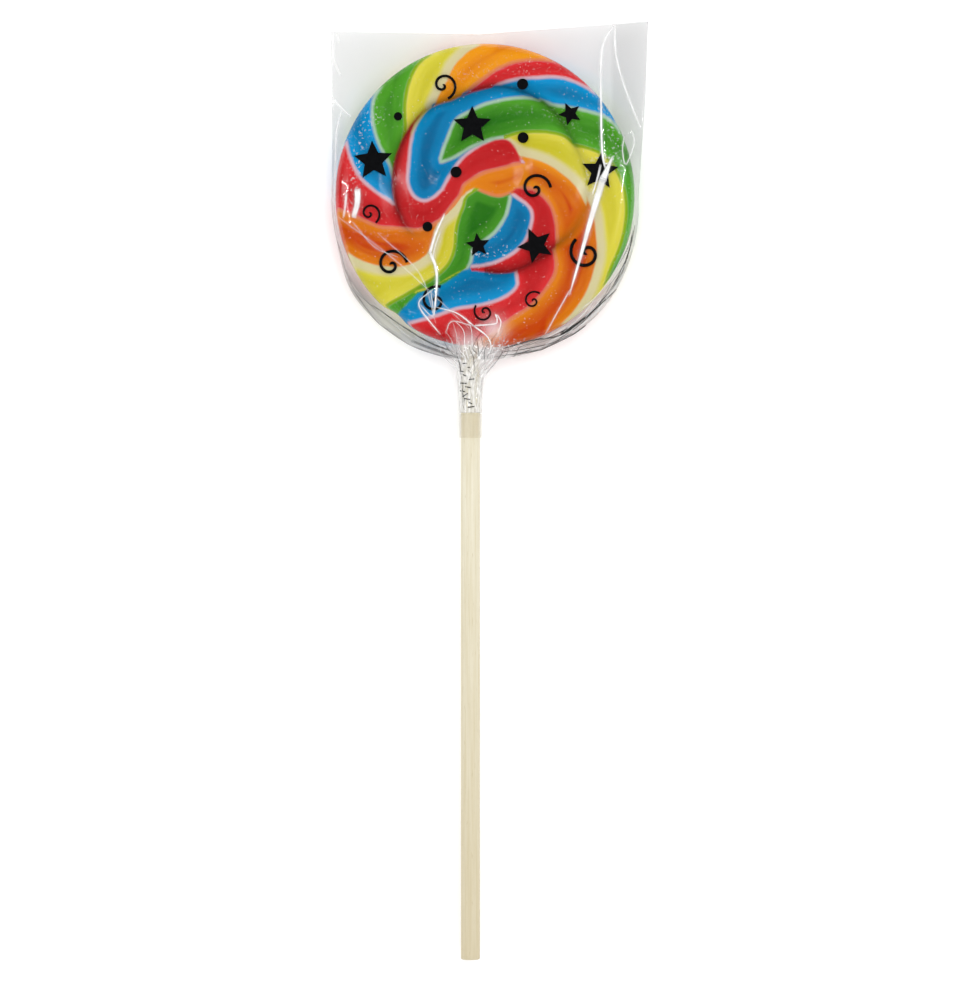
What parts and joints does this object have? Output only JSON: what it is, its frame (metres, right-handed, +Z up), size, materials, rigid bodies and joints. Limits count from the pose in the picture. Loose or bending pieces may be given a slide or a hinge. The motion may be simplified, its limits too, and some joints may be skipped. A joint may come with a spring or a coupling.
{
  "type": "swirl lollipop",
  "caption": "Round swirl lollipop of wound rainbow hard candy on a wooden stick, in a clear film bag gathered and taped at the neck.",
  "frame": {"origin": "under the middle of the candy disc, on the flat underside of the film bag that the part rests on", "axes": "+Z up out of the shown face, +Y from the stick towards the disc, +X to the right of the shown face"},
  "size_m": [0.1004, 0.2967, 0.0135],
  "materials": {
    "candy": "glossy boiled sugar in rainbow stripes",
    "stick": "plain sanded birch dowel",
    "film": "clear polypropylene film, creased, with a plain black print",
    "tape": "clear tape"
  },
  "bodies": {
    "root": {"candy": "candy", "stick": "stick", "wrapper": "film", "neck_tape": "tape"}
  },
  "joints": []
}
